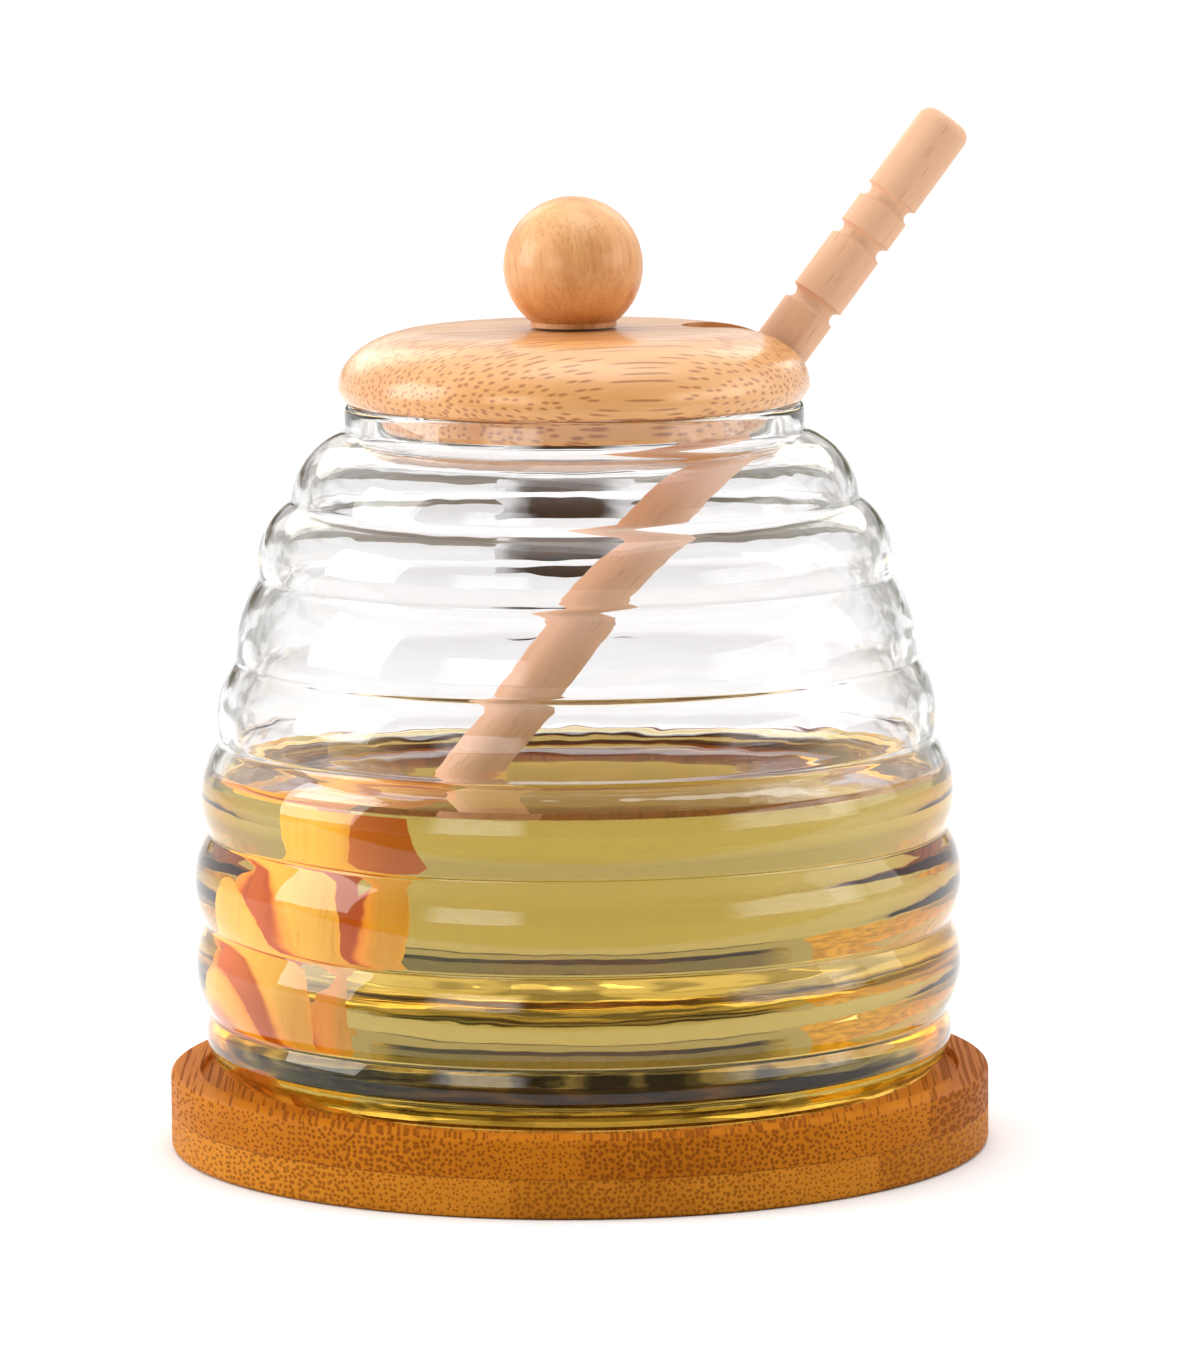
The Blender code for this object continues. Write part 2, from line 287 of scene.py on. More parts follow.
coaster = turned("bamboo_coaster", coaster_profile, ROUND_SIDES, coaster_bamboo())
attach(coaster, "root")
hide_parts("coaster")

# Jar. Clear glass blown into a beehive mould, with a wall of one thickness that follows the ribs and bends
# what shows through it. The rim is fire-polished round, and the base is thicker, with a hollow under it.
GAP = 0.3 * MM
WALL = 2.2 * MM
HIVE_RADIUS = 52.5 * MM
HIVE_HALF_HEIGHT = 91.5 * MM
HIVE_WAIST_Z = 31.8 * MM
LOWEST_GROOVE_Z = 19.2 * MM
RIB_HEIGHTS = tuple(size * MM for size in (12.8, 12.9, 12.8, 11.3, 11.4, 10.9))
RIB_SWELLS = tuple(size * MM for size in (1.7, 1.8, 1.75, 1.2, 0.9, 1.8))
SHOULDER_SWELL = 1.8 * MM
GROOVE_FILLET = 1.0 * MM
FOOT_RADIUS = 52.6 * MM
BASE_THICKNESS = 3.6 * MM
PUNT_RADIUS = 36.0 * MM
PUNT_SLOPE = 4.0 * MM
PUNT_RISE = 0.8 * MM
NECK_RADIUS = 32.2 * MM
NECK_Z = 101.4 * MM
RIM_Z = 104.8 * MM
GLASS_Z = RECESS_Z + GAP
FLOOR_Z = GLASS_Z + BASE_THICKNESS
CORNER_WIDTH = 2.6 * MM
CORNER_RISE = 1.2 * MM
CORNER_MIDDLE = (0.9 * MM, 0.35 * MM)
HONEY_LEVEL_Z = 52.6 * MM
CREEP_HEIGHT = 1.1 * MM
GLASSY = {"Roughness": 0.0, "Transmission Weight": 1.0}
GLASS_IOR = 1.47
GLASS_TINTS = ((0.875, 0.87, 0.875, 1.0), (0.925, 0.92, 0.92, 1.0))
# Painted dark reflection, in specks where the glass is seen edge on
EDGE_REFLECTION_SPECK_TINT = (0.10, 0.095, 0.07, 1.0)
# Painted glint of the honey's gold on the glass, where it is seen edge on below the honey
HONEY_GLINT_TINTS = ((1.0, 0.38, 0.02, 1.0), (1.0, 0.74, 0.16, 1.0))
# A ray that has met more surfaces than this goes straight on. It is fewer from TOP_RIBS_Z to the honey's top
LAST_TURN = 6.5
LAST_TURN_IN_TOP_RIBS = 4.5
TOP_RIBS_Z = 41.5 * MM


def angle_to(centre, target):
    """Direction from centre to target in the (r, z) plane."""
    return math.atan2(target[1] - centre[1], target[0] - centre[0])


def hive_radius(z):
    """Radius of the ellipse that the groove bottoms lie on, at height z."""
    share = (z - HIVE_WAIST_Z) / HIVE_HALF_HEIGHT
    return HIVE_RADIUS * math.sqrt(1.0 - share * share)


def groove_centres():
    """Centre (r, z) of the fillet in each groove, lowest first. The last is the fillet under the neck."""
    centres = []
    z = LOWEST_GROOVE_Z
    for height in (*RIB_HEIGHTS, None):
        r = hive_radius(z)
        slope = Vector((r / HIVE_RADIUS**2, (z - HIVE_WAIST_Z) / HIVE_HALF_HEIGHT**2)).normalized()
        centres.append((r + GROOVE_FILLET * slope.x, z + GROOVE_FILLET * slope.y))
        z += height or 0.0
    centres.append((NECK_RADIUS + GROOVE_FILLET, NECK_Z))
    return centres


def rib_circle(low, high, swell):
    """Centre and radius of the rib that touches the fillets at low and high and stands out by swell."""
    chord = Vector(high) - Vector(low)
    outward = Vector((chord.y, -chord.x)).normalized()
    reach = (chord.length_squared / 4 + swell * swell) / (2 * swell)
    centre = (Vector(low) + Vector(high)) / 2 - outward * (reach - swell)
    return tuple(centre), reach - GROOVE_FILLET


def foot_circle(groove):
    """Centre and radius of the rolled foot, which touches the lowest fillet, the foot radius and the base."""
    across = groove[0] - FOOT_RADIUS
    up = groove[1] - GLASS_Z
    half = up + GROOVE_FILLET - across
    radius = half - math.sqrt(half * half - (across * across + up * up - GROOVE_FILLET**2))
    return (FOOT_RADIUS - radius, GLASS_Z + radius), radius


def hive_wall(inset, rib_steps=12, groove_steps=5):
    """Profile of the ribbed wall from base to neck, moved inwards by inset."""
    grooves = groove_centres()
    foot, foot_radius = foot_circle(grooves[0])
    swells = (*RIB_SWELLS, SHOULDER_SWELL)
    ribs = [rib_circle(low, high, swell) for low, high, swell in zip(grooves, grooves[1:], swells)]
    points = arc(foot, foot_radius - inset, -math.pi / 2, angle_to(foot, grooves[0]), rib_steps)
    below = foot
    for index, groove in enumerate(grooves):
        start = angle_to(groove, below) % math.tau
        last = index == len(ribs)
        end = math.pi if last else angle_to(groove, ribs[index][0]) % math.tau
        points += arc(groove, GROOVE_FILLET + inset, start, end, groove_steps)[1:]
        if last:
            break
        centre, radius = ribs[index]
        above = angle_to(centre, grooves[index + 1])
        points += arc(centre, radius - inset, angle_to(centre, groove), above, rib_steps)[1:]
        below = centre
    return points


def lets_light_in(tree, shader):
    """Shadow and diffuse rays go straight through this surface, so that what stands behind it is lit evenly.

    So does a ray that has been turned round in the wall many times, which would end as a black patch."""
    ray = node(tree, "ShaderNodeLightPath").outputs
    passing = maths(tree, "MAXIMUM", ray["Is Shadow Ray"], ray["Is Diffuse Ray"])
    height = coordinate(tree, own_place(tree), "Z")
    above_low_ribs = maths(tree, "GREATER_THAN", height, TOP_RIBS_Z)
    under_level = maths(tree, "LESS_THAN", height, HONEY_LEVEL_Z)
    in_top_ribs = maths(tree, "MULTIPLY", above_low_ribs, under_level)
    last_turn = maths(tree, "MULTIPLY_ADD", in_top_ribs, LAST_TURN_IN_TOP_RIBS - LAST_TURN, LAST_TURN)
    trapped = maths(tree, "GREATER_THAN", ray["Ray Depth"], last_turn)
    passing = maths(tree, "MAXIMUM", passing, trapped)
    straight = node(tree, "ShaderNodeBsdfTransparent")
    either = node(tree, "ShaderNodeMixShader", {0: passing, 1: shader.outputs[0], 2: straight.outputs[0]})
    tree.links.new(either.outputs[0], tree.nodes["Material Output"].inputs["Surface"])


def from_axis(tree, vector):
    """How far a place is from the Z axis."""
    apart = node(tree, "ShaderNodeSeparateXYZ", {0: vector}).outputs
    flat = node(tree, "ShaderNodeCombineXYZ", {"X": apart["X"], "Y": apart["Y"]}).outputs[0]
    return node(tree, "ShaderNodeVectorMath", {0: flat}, operation="LENGTH").outputs["Value"]


def wetted(tree, place):
    """1 on the inside of the glass below the honey, where no air lies between the two, and 0 elsewhere."""
    height = coordinate(tree, place, "Z")
    share = maths(tree, "DIVIDE", maths(tree, "SUBTRACT", height, HIVE_WAIST_Z), HIVE_HALF_HEIGHT)
    hive = maths(tree, "SQRT", maths(tree, "SUBTRACT", 1.0, maths(tree, "MULTIPLY", share, share)))
    grooves = maths(tree, "MULTIPLY_ADD", hive, HIVE_RADIUS, -0.2 * MM)
    within = maths(tree, "LESS_THAN", from_axis(tree, place), grooves)
    above_base = maths(tree, "GREATER_THAN", height, FLOOR_Z - 0.3 * MM)
    below_top = maths(tree, "LESS_THAN", height, HONEY_LEVEL_Z + CREEP_HEIGHT)
    return maths(tree, "MULTIPLY", within, maths(tree, "MULTIPLY", above_base, below_top))


def clear_glass():
    """Clear glass with faint waves, painted dark reflection in specks where it is seen edge on, and a painted
    gold glint of the honey there below the honey.
    """
    material, tree, shader = finish("clear_glass", {**GLASSY, "IOR": GLASS_IOR})
    place = own_place(tree)
    bends = maths(tree, "MULTIPLY_ADD", wetted(tree, place), 1.0 - GLASS_IOR, GLASS_IOR)
    tree.links.new(bends, shader.inputs["IOR"])
    waves = noise(tree, place, (70, 70, 160))["Fac"]
    relief(tree, shader, waves, 0.35, 0.25 * MM)
    specks = noise(tree, place, (170, 170, 420), 1.0)["Fac"]
    edge_on = node(tree, "ShaderNodeLayerWeight", {"Blend": 0.5}).outputs["Facing"]
    # Painted dark reflection: the specks show only where the glass is seen edge on
    edge_reflection_specks = maths(tree, "MULTIPLY", ramp(tree, specks, 0.42, 0.58), ramp(tree, edge_on, 0.5, 0.8))
    height = coordinate(tree, place, "Z")
    under_level = maths(tree, "LESS_THAN", height, HONEY_LEVEL_Z)
    filled = maths(tree, "MULTIPLY", under_level, ramp(tree, height, FLOOR_Z, FLOOR_Z + 3 * MM))
    # Painted glint: the honey's gold painted on the glass where it is seen edge on below the honey's level
    golden = maths(tree, "MULTIPLY", filled, ramp(tree, edge_on, 0.36, 0.7))
    tint = blended(tree, waves, *GLASS_TINTS)
    tint = blended(tree, edge_reflection_specks, tint, EDGE_REFLECTION_SPECK_TINT)
    tint = blended(tree, golden, tint, blended(tree, specks, *HONEY_GLINT_TINTS))
    tree.links.new(tint, shader.inputs["Base Color"])
    lets_light_in(tree, shader)
    return material


outside = hive_wall(0.0)
inside = [point for point in hive_wall(WALL) if point[1] > FLOOR_Z + CORNER_RISE]
rim = arc((NECK_RADIUS - WALL / 2, RIM_Z - WALL / 2), WALL / 2, 0.0, math.pi, 10)
under = [(0.0, GLASS_Z + PUNT_RISE), (PUNT_RADIUS, GLASS_Z + PUNT_RISE), (PUNT_RADIUS + PUNT_SLOPE, GLASS_Z)]
corner = inside[0]
floor = [
    (corner[0] - CORNER_MIDDLE[0], FLOOR_Z + CORNER_MIDDLE[1]),
    (corner[0] - CORNER_WIDTH, FLOOR_Z),
    (0.0, FLOOR_Z),
]
jar = turned("beehive_glass", under + outside + rim + inside[::-1] + floor, ROUND_SIDES, clear_glass())
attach(jar, "root")
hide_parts("glass_jar")

# Honey. Clear light golden honey, poured in until it stands part way up the fourth bulge of the glass. It
# wets the glass, so it reaches just into the wall here and creeps about a millimetre up it.
WETTING = 0.12 * MM
CREEP_WIDTH = 1.8 * MM
CREEP_STEPS = 8
CREEP_CURVE = 2.4
HONEY_CORNER_MIDDLE = (0.85 * MM, 0.35 * MM)
HONEY_IOR = 1.49
HONEY_TINTS = ((0.99, 0.975, 0.93, 1.0), (1.0, 0.99, 0.96, 1.0))
# Painted golden light where the honey is seen edge on
HONEY_EDGE_LIGHT_TINT = (1.0, 0.66, 0.14, 1.0)
HONEY_DEPTH = {"Color": (0.80, 0.705, 0.27, 1.0), "Density": 34.0}


def clear_honey():
    """Honey that deepens in colour with its thickness, is painted with golden light where it is seen edge on,
    and bends light little where it touches the glass.
    """
    material, tree, shader = finish("clear_honey", {**GLASSY, "IOR": HONEY_IOR})
    place = own_place(tree)
    on_top = maths(tree, "GREATER_THAN", coordinate(tree, place, "Z"), HONEY_LEVEL_Z - 0.05 * MM)
    against_glass = HONEY_IOR / GLASS_IOR
    bends = maths(tree, "MULTIPLY_ADD", on_top, HONEY_IOR - against_glass, against_glass)
    tree.links.new(bends, shader.inputs["IOR"])
    tint = blended(tree, noise(tree, place, (60, 60, 60))["Fac"], *HONEY_TINTS)
    edge_on = node(tree, "ShaderNodeLayerWeight", {"Blend": 0.5}).outputs["Facing"]
    # Painted golden light on the honey where it is seen edge on
    tint = blended(tree, ramp(tree, edge_on, 0.35, 0.8), tint, HONEY_EDGE_LIGHT_TINT)
    tree.links.new(tint, shader.inputs["Base Color"])
    depth = node(tree, "ShaderNodeVolumeAbsorption", HONEY_DEPTH)
    lets_light_in(tree, shader)
    tree.links.new(depth.outputs[0], tree.nodes["Material Output"].inputs["Volume"])
    return material


wall_side = [point for point in hive_wall(WALL - WETTING) if point[1] > FLOOR_Z + CORNER_RISE]
wet_side = [point for point in wall_side if point[1] < HONEY_LEVEL_Z + CREEP_HEIGHT]
wet_edge = wet_side[-1]
creep = []
for step in range(1, CREEP_STEPS):
    share = step / CREEP_STEPS
    creep_z = HONEY_LEVEL_Z + (wet_edge[1] - HONEY_LEVEL_Z) * (1 - share) ** CREEP_CURVE
    creep.append((wet_edge[0] - CREEP_WIDTH * share, creep_z))
honey_floor = FLOOR_Z - WETTING
honey_profile = [
    (0.0, honey_floor),
    (corner[0] - CORNER_WIDTH, honey_floor),
    (corner[0] - HONEY_CORNER_MIDDLE[0], honey_floor + HONEY_CORNER_MIDDLE[1]),
]
honey_profile += wet_side + creep + [(wet_edge[0] - CREEP_WIDTH, HONEY_LEVEL_Z), (0.0, HONEY_LEVEL_Z)]
honey = turned("honey_fill", honey_profile, ROUND_SIDES, clear_honey())
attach(honey, "root")
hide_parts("honey")

# Dipper. Turned from one pale beech rod: a head of six rings that hold the honey, a thin neck, and a plain
# handle with three coves near its end. It leans through the lid's notch with its head in the far corner.
DIPPER_AZIMUTH = math.radians(12.0)
DIPPER_TILT = math.radians(37.6)
DIPPER_LENGTH = 157.5 * MM
DIPPER_SIDES = 72
HANDLE_RADIUS = 3.95 * MM
HANDLE_END_ROUND = 1.8 * MM
HANDLE_GROOVES = tuple(size * MM for size in (14.7, 21.3, 32.5))
HANDLE_GROOVE_WIDTH = 2.2 * MM
HANDLE_GROOVE_DEPTH = 0.9 * MM
NECKING_RADIUS = 3.2 * MM
NECKING_LENGTH = 8.0 * MM
NECKING_FILLET = 1.2 * MM
NECKING_STRAIGHT = 0.55
RING_RADII = tuple(size * MM for size in (8.2, 10.4, 11.4, 11.5, 10.6, 8.8))
RING_THICKNESS = 3.6 * MM
RING_GAP = 2.1 * MM
RING_EDGE = 1.1 * MM
RING_CORE_RADIUS = 5.8 * MM
RING_CORE_FILLET = 0.4 * MM
PALE_BEECH = {
    "Pale": (0.80, 0.47, 0.29, 1.0),
    "Deep": (0.70, 0.37, 0.20, 1.0),
    "Pore": (0.55, 0.25, 0.12, 1.0),
    "Contrast": 0.8,
}
# Honey colour of the soaked wood, which also brightens it past the dry wood as painted light
SOAKED_AND_LIT_TINT = (1.25, 1.22, 0.34, 1.0)
# Reddish painted shade in the gaps between the rings of the dipper's head
RING_GAP_SHADE = (0.70, 0.22, 0.025, 1.0)


def dipper_tip():
    """Place of the middle of the dipper's tip, before it is turned to its azimuth."""
    at_rim = NECK_RADIUS - WALL - HANDLE_RADIUS / math.cos(DIPPER_TILT) - GAP
    tip_z = GLASS_Z + PUNT_RISE + WALL + 2 * GAP + RING_RADII[0] * math.sin(DIPPER_TILT)
    tip = at_rim - math.tan(DIPPER_TILT) * (RIM_Z - tip_z)
    return Vector((tip, 0.0, tip_z))


def wood_group():
    """Close-grained wood with its fibres along Z: soft bands of tone, fine pores and short flecks."""
    group, start, end = new_group(
        "turned_wood",
        (("Place", "Vector"), ("Pale", "Color"), ("Deep", "Color"), ("Pore", "Color"), ("Contrast", "Float")),
        (("Color", "Color"), ("Height", "Float"), ("Roughness", "Float")),
    )
    place = start.outputs["Place"]
    bands = noise(group, place, (230, 230, 18), 3.0)["Fac"]
    fibres = noise(group, place, (2200, 2200, 70))["Fac"]
    pore_place = stretched(group, place, (1500, 1500, 150))
    pores = node(group, "ShaderNodeTexVoronoi", {"Vector": pore_place, "Scale": 1.0})
    fleck = ramp(group, pores.outputs["Distance"], 0.08, 0.24, 1.0, 0.0)
    tone = maths(group, "ADD", maths(group, "MULTIPLY", bands, 1.3), maths(group, "MULTIPLY", fibres, 0.5))
    tone = maths(group, "MULTIPLY", ramp(group, tone, 0.62, 1.25), start.outputs["Contrast"])
    flesh = blended(group, tone, start.outputs["Pale"], start.outputs["Deep"])
    colour = blended(group, maths(group, "MULTIPLY", fleck, 0.5), flesh, start.outputs["Pore"])
    height = maths(
        group,
        "SUBTRACT",
        maths(group, "MULTIPLY", fibres, 0.6),
        maths(group, "MULTIPLY", fleck, 0.5),
    )
    group.links.new(colour, end.inputs["Color"])
    group.links.new(height, end.inputs["Height"])
    group.links.new(ramp(group, height, -0.4, 0.5, 0.68, 0.5), end.inputs["Roughness"])
    return group


TURNED_WOOD = wood_group()


def dipper_wood():
    """Pale beech, stronger in colour where it is soaked in honey and brightened there by painted light and a
    painted glow, with reddish painted shade in the gaps of its head.
    """
    material, tree, shader = finish("dipper_wood")
    place = own_place(tree)
    unturned = node(
        tree,
        "ShaderNodeMapping",
        {"Vector": place, "Rotation": (0.0, 0.0, -DIPPER_AZIMUTH), "Location": -dipper_tip()},
        vector_type="POINT",
    )
    upright = node(
        tree,
        "ShaderNodeMapping",
        {"Vector": unturned.outputs[0], "Rotation": (0.0, -DIPPER_TILT, 0.0)},
        vector_type="POINT",
    ).outputs[0]
    grain = node(tree, "ShaderNodeGroup", {"Place": upright, **PALE_BEECH}, node_tree=TURNED_WOOD)
    soaked = ramp(tree, coordinate(tree, place, "Z"), HONEY_LEVEL_Z + 1.0 * MM, HONEY_LEVEL_Z - 1.0 * MM)
    # Painted shade: near the core of the head, in the gaps between its rings, the wood is darkened and
    # reddened
    out_of_gap_shade = ramp(tree, from_axis(tree, upright), RING_CORE_RADIUS + 0.6 * MM, RING_CORE_RADIUS + 3.2 * MM)
    # The soaked wood is painted with honey colour and with extra light
    soaked_with_painted_light = blended(tree, 1.0, grain.outputs["Color"], SOAKED_AND_LIT_TINT, "MULTIPLY")
    soaked_with_painted_light = blended(tree, out_of_gap_shade, RING_GAP_SHADE, soaked_with_painted_light)
    colour = blended(tree, soaked, grain.outputs["Color"], soaked_with_painted_light)
    tree.links.new(colour, shader.inputs["Base Color"])
    tree.links.new(grain.outputs["Roughness"], shader.inputs["Roughness"])
    tree.links.new(ramp(tree, soaked, 0.0, 1.0, 0.5, 0.02), shader.inputs["Specular IOR Level"])
    # Painted glow: the honey gathers light on the wood in it, which straight rays alone would leave too dark
    # It glows less in the gaps of the head, as painted shade
    glow = maths(tree, "MULTIPLY", soaked, ramp(tree, out_of_gap_shade, 0.0, 1.0, 0.3, 0.5))
    tree.links.new(colour, shader.inputs["Emission Color"])
    tree.links.new(glow, shader.inputs["Emission Strength"])
    relief(tree, shader, grain.outputs["Height"], 0.4, 0.08 * MM)
    return material


def dipper_profile():
    """Profile of the dipper from its tip up to the end of its handle."""
    profile = [(0.0, 0.0)]
    fillet_r = RING_CORE_RADIUS + RING_CORE_FILLET
    for index, radius in enumerate(RING_RADII):
        low = index * (RING_THICKNESS + RING_GAP)
        high = low + RING_THICKNESS
        if index:
            profile += arc((fillet_r, low - RING_CORE_FILLET), RING_CORE_FILLET, math.pi, math.pi / 2, 3)
        profile += arc((radius - RING_EDGE, low + RING_EDGE), RING_EDGE, -math.pi / 2, 0.0, 5)
        profile += arc((radius - RING_EDGE, high - RING_EDGE), RING_EDGE, 0.0, math.pi / 2, 5)
        if index < len(RING_RADII) - 1:
            profile += arc((fillet_r, high + RING_CORE_FILLET), RING_CORE_FILLET, -math.pi / 2, -math.pi, 3)
    head = profile[-1][1]
    necking = (NECKING_RADIUS + NECKING_FILLET, head + NECKING_FILLET)
    profile += arc(necking, NECKING_FILLET, -math.pi / 2, -math.pi, 5)
    profile.append((NECKING_RADIUS, head + NECKING_STRAIGHT * NECKING_LENGTH))
    profile.append((HANDLE_RADIUS, head + NECKING_LENGTH))
    half = HANDLE_GROOVE_WIDTH / 2
    reach = (half * half + HANDLE_GROOVE_DEPTH**2) / (2 * HANDLE_GROOVE_DEPTH)
    spread = math.asin(half / reach)
    for from_end in reversed(HANDLE_GROOVES):
        middle = DIPPER_LENGTH - from_end
        centre = (HANDLE_RADIUS - HANDLE_GROOVE_DEPTH + reach, middle)
        profile += arc(centre, reach, math.pi + spread, math.pi - spread, 8)
    round_centre = (HANDLE_RADIUS - HANDLE_END_ROUND, DIPPER_LENGTH - HANDLE_END_ROUND)
    profile += arc(round_centre, HANDLE_END_ROUND, 0.0, math.pi / 2, 6)
    profile.append((0.0, DIPPER_LENGTH))
    return profile


dipper_place = (
    Matrix.Rotation(DIPPER_AZIMUTH, 4, "Z")
    @ Matrix.Translation(dipper_tip())
    @ Matrix.Rotation(DIPPER_TILT, 4, "Y")
)
dipper = turned("honey_dipper", dipper_profile(), DIPPER_SIDES, dipper_wood(), dipper_place)
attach(dipper, "root")
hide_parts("dipper")

# Lid. A bamboo disc turned to a full round shoulder, with a plug that sits loose in the neck and a notch sawn
# in from its edge for the dipper. Its fibres lie across it, and show as dots round it and streaks in front.
LID_RADIUS = 33.0 * MM
LID_THICKNESS = 9.9 * MM
LID_CHAMFER_WIDTH = 1.0 * MM
LID_CHAMFER_HEIGHT = 1.6 * MM
LID_FLAT_RADIUS = 20.5 * MM
LID_SHOULDER = 7.8 * MM
LID_SIDES = 160
LID_GRAIN = math.radians(16.0)
PLUG_RADIUS = 27.6 * MM
PLUG_DEPTH = 4.0 * MM
PLUG_CHAMFER = 0.6 * MM
NOTCH_WIDTH = 10.0 * MM
NOTCH_INNER_END = 15.5 * MM
LID_Z = RIM_Z + GAP
LID_TOP_Z = LID_Z + LID_THICKNESS
LID_LAYER = {
    "Spacing": 0.92 * MM,
    "Bundle Size": 0.30,
    "Strip Width": 21 * MM,
    "Pale": (0.82, 0.41, 0.135, 1.0),
    "Deep": (0.68, 0.285, 0.07, 1.0),
    "Bundle": (0.40, 0.13, 0.025, 1.0),
}


def lid_bamboo():
    """Varnished bamboo with its fibres turned to lie across the lid."""
    material, tree, shader = finish("lid_bamboo", {"Coat Weight": 0.9, "Coat Roughness": 0.2})
    turn = (0.0, 0.0, math.pi / 2 - LID_GRAIN)
    across = node(tree, "ShaderNodeMapping", {"Vector": own_place(tree), "Rotation": turn}).outputs[0]
    grain = node(tree, "ShaderNodeGroup", {"Place": across, **LID_LAYER}, node_tree=BAMBOO)
    tree.links.new(grain.outputs["Color"], shader.inputs["Base Color"])
    tree.links.new(grain.outputs["Roughness"], shader.inputs["Roughness"])
    relief(tree, shader, grain.outputs["Height"], 0.4, 0.08 * MM)
    return material


def notch_cutter():
    """A U-shaped bar along the dipper's plane, round at its inner end, taller than the lid."""
    half = NOTCH_WIDTH / 2
    outline = arc((NOTCH_INNER_END + half, 0.0), half, math.pi / 2, 1.5 * math.pi, 24)
    outline += [(LID_RADIUS + half, -half), (LID_RADIUS + half, half)]
    mesh = bmesh.new()
    face = mesh.faces.new([mesh.verts.new((x, y, LID_Z - 2 * PLUG_DEPTH)) for x, y in outline])
    grown = bmesh.ops.extrude_face_region(mesh, geom=[face])
    raised = [item for item in grown["geom"] if isinstance(item, bmesh.types.BMVert)]
    bmesh.ops.translate(mesh, verts=raised, vec=(0.0, 0.0, LID_THICKNESS + 4 * PLUG_DEPTH))
    bmesh.ops.recalc_face_normals(mesh, faces=mesh.faces)
    mesh.transform(Matrix.Rotation(DIPPER_AZIMUTH, 4, "Z"))
    return made_of(mesh, "notch_cutter")


def cut_for_good(piece, cutter):
    """Takes the cutter out of the piece's own mesh, and removes the cutter."""
    boolean = piece.modifiers.new("cut", "BOOLEAN")
    boolean.operation = "DIFFERENCE"
    boolean.solver = "EXACT"
    boolean.object = cutter
    shown = piece.evaluated_get(bpy.context.evaluated_depsgraph_get())
    data = bpy.data.meshes.new_from_object(shown)
    piece.modifiers.clear()
    old = piece.data
    piece.data = data
    bpy.data.meshes.remove(old)
    bpy.data.objects.remove(cutter)
    piece.data.set_sharp_from_angle(angle=SHARP_ANGLE)


bottom = LID_Z - PLUG_DEPTH
lid_profile = [(0.0, bottom), (PLUG_RADIUS - PLUG_CHAMFER, bottom), (PLUG_RADIUS, bottom + PLUG_CHAMFER)]
lid_profile += [(PLUG_RADIUS, LID_Z), (LID_RADIUS - LID_CHAMFER_WIDTH, LID_Z)]
lid_profile.append((LID_RADIUS, LID_Z + LID_CHAMFER_HEIGHT))
for r, z in arc((0.0, 0.0), 1.0, 0.0, math.pi / 2, 20):
    lid_profile.append((
        LID_FLAT_RADIUS + (LID_RADIUS - LID_FLAT_RADIUS) * r,
        LID_TOP_Z - LID_SHOULDER + LID_SHOULDER * z,
    ))
lid_profile.append((0.0, LID_TOP_Z))
lid = turned("bamboo_lid", lid_profile, LID_SIDES, lid_bamboo())
cut_for_good(lid, notch_cutter())
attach(lid, "root")
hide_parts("lid")

# Knob. A ball of wood turned with a short tapered foot, sanded smooth and clear coated, and fixed to the
# middle of the lid by a screw from below. Its fibres stand nearly upright, so it shows tall bands of tone.
KNOB_RADIUS = 9.75 * MM
KNOB_CENTRE_HEIGHT = 8.4 * MM
KNOB_FOOT_RADIUS = 6.0 * MM
KNOB_SIDES = 96
KNOB_Z = LID_TOP_Z + GAP
KNOB_LEAN = (0.2, 0.12, 0.4)
GOLDEN_WOOD = {
    "Pale": (0.84, 0.44, 0.17, 1.0),
    "Deep": (0.60, 0.24, 0.065, 1.0),
    "Pore": (0.45, 0.16, 0.045, 1.0),
    "Contrast": 1.0,
}


def knob_wood():
    """Coated golden wood with its fibres leaning a little."""
    material, tree, shader = finish("knob_wood", {"Coat Weight": 0.35, "Coat Roughness": 0.14})
    leaning = node(tree, "ShaderNodeMapping", {"Vector": own_place(tree), "Rotation": KNOB_LEAN}).outputs[0]
    grain = node(tree, "ShaderNodeGroup", {"Place": leaning, **GOLDEN_WOOD}, node_tree=TURNED_WOOD)
    tree.links.new(grain.outputs["Color"], shader.inputs["Base Color"])
    tree.links.new(grain.outputs["Roughness"], shader.inputs["Roughness"])
    relief(tree, shader, grain.outputs["Height"], 0.25, 0.05 * MM)
    return material


knob_centre = (0.0, KNOB_Z + KNOB_CENTRE_HEIGHT)
knob_profile = [(0.0, KNOB_Z), (KNOB_FOOT_RADIUS, KNOB_Z)]
knob_profile += arc(knob_centre, KNOB_RADIUS, -math.acos(KNOB_FOOT_RADIUS / KNOB_RADIUS), math.pi / 2, 36)
knob_profile[-1] = (0.0, knob_centre[1] + KNOB_RADIUS)
knob = turned("wooden_knob", knob_profile, KNOB_SIDES, knob_wood())
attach(knob, "root")
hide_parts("knob")

# Floor. A wide, plain sheet of white card that the jar stands on, large enough to fill the whole view.
# It isn't part of the object.
FLOOR_SIZE = 24.0
CARD_TONES = ((0.93, 0.93, 0.93, 1.0), (0.95, 0.95, 0.95, 1.0))

mesh = bmesh.new()
bmesh.ops.create_grid(mesh, x_segments=1, y_segments=1, size=FLOOR_SIZE / 2)
floor_sheet = made_of(mesh, "floor")
white_card, card_tree, card_shader = finish("white_card", {"Roughness": 0.9, "Specular IOR Level": 0.1})
mottle = node(card_tree, "ShaderNodeTexNoise", {"Vector": own_place(card_tree), "Scale": 3.0}).outputs["Fac"]
card_tree.links.new(blended(card_tree, mottle, *CARD_TONES), card_shader.inputs["Base Color"])
floor_sheet.data.materials.append(white_card)

